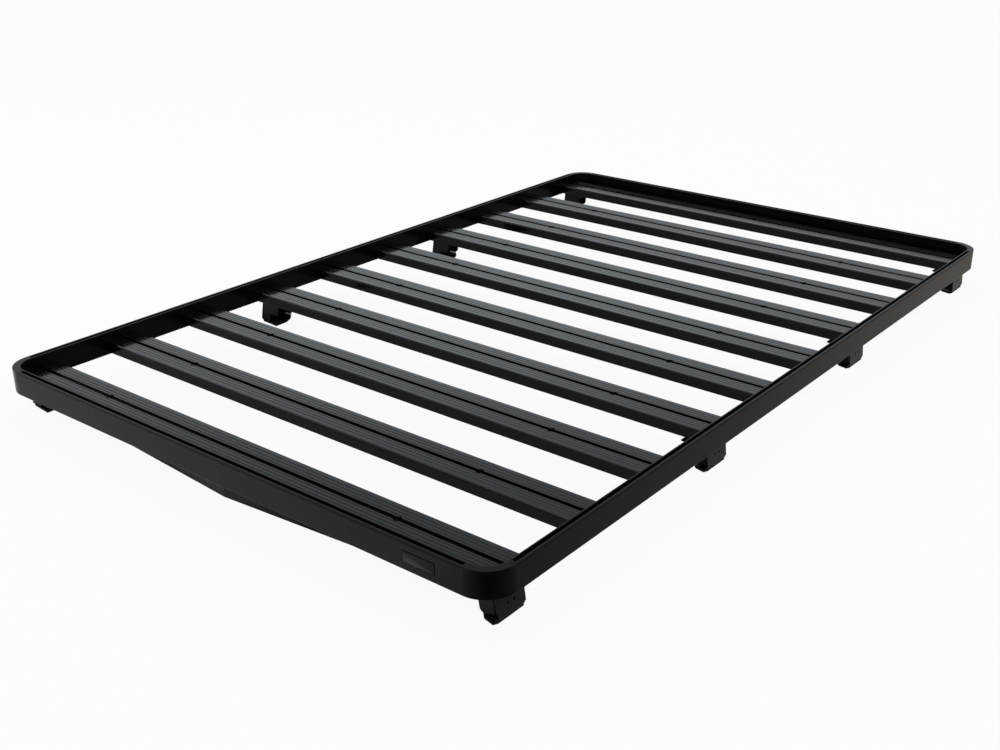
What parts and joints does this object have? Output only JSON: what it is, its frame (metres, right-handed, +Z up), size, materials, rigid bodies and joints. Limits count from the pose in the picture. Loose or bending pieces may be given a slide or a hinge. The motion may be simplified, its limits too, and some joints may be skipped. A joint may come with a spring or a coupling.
{
  "type": "flat platform roof rack",
  "caption": "Flat platform roof rack: slotted slats in a raised slotted rim with rounded corners, on folded legs, with a swept wind deflector under the front rail.",
  "frame": {"origin": "middle of the rectangle on the level surface under the legs' pads", "axes": "+X towards the right rail, +Y towards the rear rail, +Z up; the deflector is at the -Y end"},
  "size_m": [1.255, 1.964, 0.1005],
  "materials": {
    "rail_coating": "satin black powder coat on extruded aluminium",
    "corner_coating": "satin black powder coat on cast aluminium",
    "slat_coating": "satin black powder coat on extruded aluminium",
    "leg_coating": "satin black powder coat on folded steel",
    "deflector_coating": "satin black powder coat on folded aluminium sheet",
    "pad_rubber": "matt black rubber"
  },
  "bodies": {
    "root": {"front_rail": "rail_coating", "rear_rail": "rail_coating", "left_rail": "rail_coating", "right_rail": "rail_coating", "front_left_corner": "corner_coating", "front_right_corner": "corner_coating", "rear_left_corner": "corner_coating", "rear_right_corner": "corner_coating", "slat_01": "slat_coating", "slat_02": "slat_coating", "slat_03": "slat_coating", "slat_04": "slat_coating", "slat_05": "slat_coating", "slat_06": "slat_coating", "slat_07": "slat_coating", "slat_08": "slat_coating", "slat_09": "slat_coating", "slat_10": "slat_coating", "left_leg_1": "leg_coating", "left_leg_2": "leg_coating", "left_leg_3": "leg_coating", "left_leg_4": "leg_coating", "right_leg_1": "leg_coating", "right_leg_2": "leg_coating", "right_leg_3": "leg_coating", "right_leg_4": "leg_coating", "left_pad_1": "pad_rubber", "left_pad_2": "pad_rubber", "left_pad_3": "pad_rubber", "left_pad_4": "pad_rubber", "right_pad_1": "pad_rubber", "right_pad_2": "pad_rubber", "right_pad_3": "pad_rubber", "right_pad_4": "pad_rubber", "wind_deflector": "deflector_coating"}
  },
  "joints": []
}
